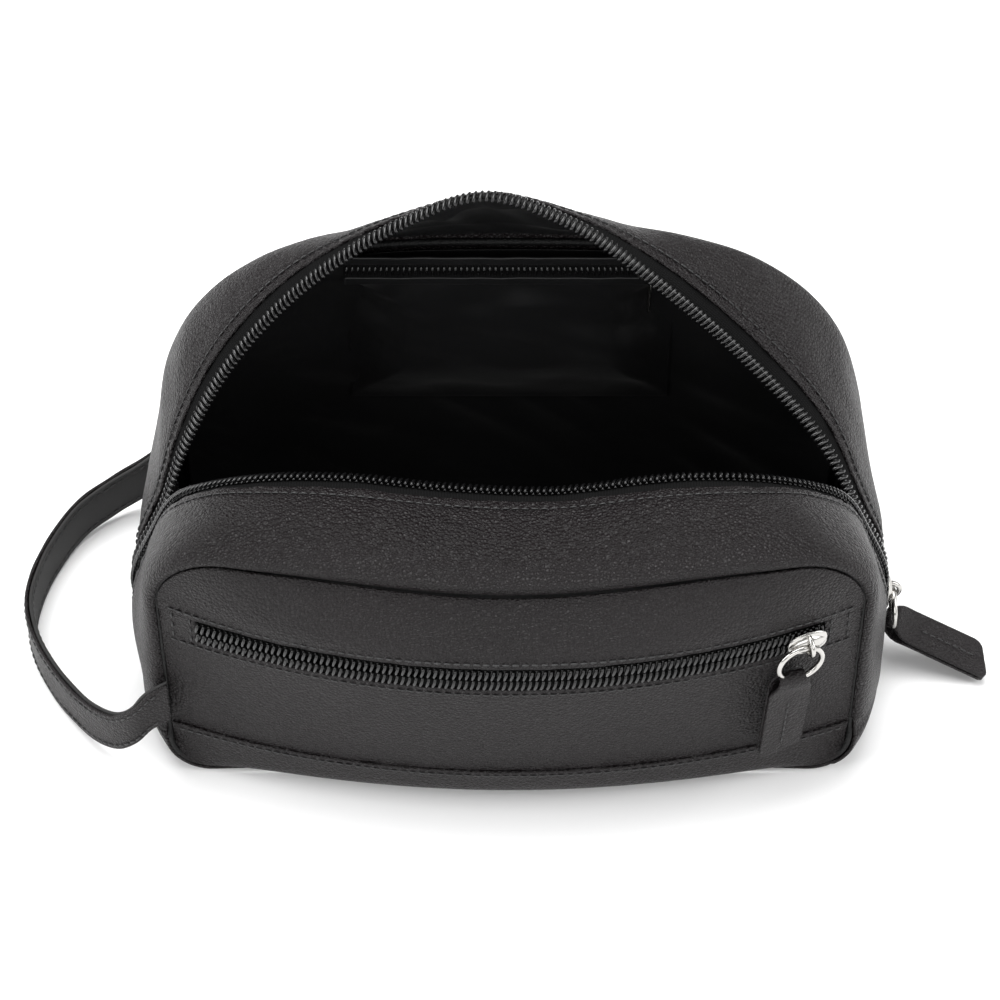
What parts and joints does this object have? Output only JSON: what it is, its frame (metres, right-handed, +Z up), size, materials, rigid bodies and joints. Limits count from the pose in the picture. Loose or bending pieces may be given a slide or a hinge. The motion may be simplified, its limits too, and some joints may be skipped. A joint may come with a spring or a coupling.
{
  "type": "makeup bag",
  "caption": "Black leather wash bag with its main zip open, a zipped front pocket, a fabric lining with a zipped inner pocket, and a wrist strap on one side.",
  "frame": {"origin": "on the floor under the middle of the base, at the middle of the bag's width", "axes": "+Z up, -Y towards the front face with the zipped pocket, +X towards the end with the main zip's slider; the wrist strap is at -X"},
  "size_m": [0.3391, 0.1476, 0.18],
  "materials": {
    "leather": "pebble-grained black leather, semi-matt",
    "lining": "black woven nylon lining with a slight sheen",
    "zip_tape": "black woven zip tape",
    "zip_coil": "black moulded coil",
    "nickel": "polished nickel plate",
    "board": "plain stiffening board, hidden under the lining"
  },
  "bodies": {
    "bag_body": {"front_bottom_band": "leather", "back_gusset": "leather", "main_zip_tape_back": "zip_tape", "main_zip_coil_back": "zip_coil", "lining_back_gusset": "lining", "back_panel": "leather", "lining_back": "lining", "base_strip": "leather", "base_board": "board", "lining_base": "lining", "main_zip_end_left": "zip_coil", "main_zip_end_right": "zip_coil", "inner_pocket_panel": "lining", "inner_pocket_zip_tape": "zip_tape", "inner_pocket_zip_coil": "zip_coil"},
    "front_wall": {"front_gusset": "leather", "main_zip_tape_front": "zip_tape", "main_zip_coil_front": "zip_coil", "lining_front_gusset": "lining", "front_panel_upper": "leather", "front_panel_lower": "leather", "pocket_end_tab_left": "leather", "pocket_end_tab_right": "leather", "pocket_lining": "lining", "lining_front": "lining", "pocket_zip_tape_upper": "zip_tape", "pocket_zip_tape_lower": "zip_tape", "pocket_zip_coil_upper": "zip_coil", "pocket_zip_coil_lower": "zip_coil"},
    "inner_slider": {"inner_pocket_slider": "nickel"},
    "pocket_slider": {"pocket_slider": "nickel"},
    "pocket_ring": {"pocket_ring": "nickel"},
    "pocket_pull": {"pocket_pull": "leather"},
    "main_slider": {"main_slider": "nickel"},
    "main_ring": {"main_ring": "nickel"},
    "main_pull": {"main_pull": "leather"},
    "wrist_strap": {"wrist_strap": "leather", "wrist_strap_backing": "leather"}
  },
  "joints": [
    {"name": "front_wall_lean", "type": "hinge", "parent": "bag_body", "child": "front_wall", "pos_m": [0, -0.078, 0.022], "axis": [1, 0, 0], "range_deg": [0, 7], "stiffness_Nm_per_rad": 0.6},
    {"name": "pocket_slider_travel", "type": "hinge", "parent": "front_wall", "child": "pocket_slider", "pos_m": [0, 0.19, 0.075], "axis": [0, 0, 1], "range_deg": [-41, 0]},
    {"name": "pocket_ring_swing", "type": "hinge", "parent": "pocket_slider", "child": "pocket_ring", "pos_m": [0.09753, -0.06638, 0.075], "axis": [-0.8617, -0.3278, 0.3872], "range_deg": [0, 100]},
    {"name": "pocket_pull_swing", "type": "hinge", "parent": "pocket_ring", "child": "pocket_pull", "pos_m": [0.09188, -0.06807, 0.06099], "axis": [-0.933, -0.3549, 0.0599], "range_deg": [0, 90]},
    {"name": "main_slider_travel", "type": "slide", "parent": "bag_body", "child": "main_slider", "axis": [0, 0, 1], "range_m": [0, 0.005]},
    {"name": "main_ring_swing", "type": "hinge", "parent": "main_slider", "child": "main_ring", "pos_m": [0.1333, -0.004, 0.031], "axis": [0, -0.995, 0.0995], "range_deg": [0, 80]},
    {"name": "main_pull_swing", "type": "hinge", "parent": "main_ring", "child": "main_pull", "pos_m": [0.13451, -0.00551, 0.01592], "axis": [-0.259, -0.9659, -0.0036], "range_deg": [-1.5, 60]},
    {"name": "inner_slider_travel", "type": "slide", "parent": "bag_body", "child": "inner_slider", "axis": [1, 0, 0], "range_m": [-0.094, 0]},
    {"name": "strap_swing", "type": "hinge", "parent": "bag_body", "child": "wrist_strap", "pos_m": [-0.1219, 0.0028, 0.0384], "axis": [-0.0114, 0.9987, -0.0488], "range_deg": [0, 60]}
  ]
}
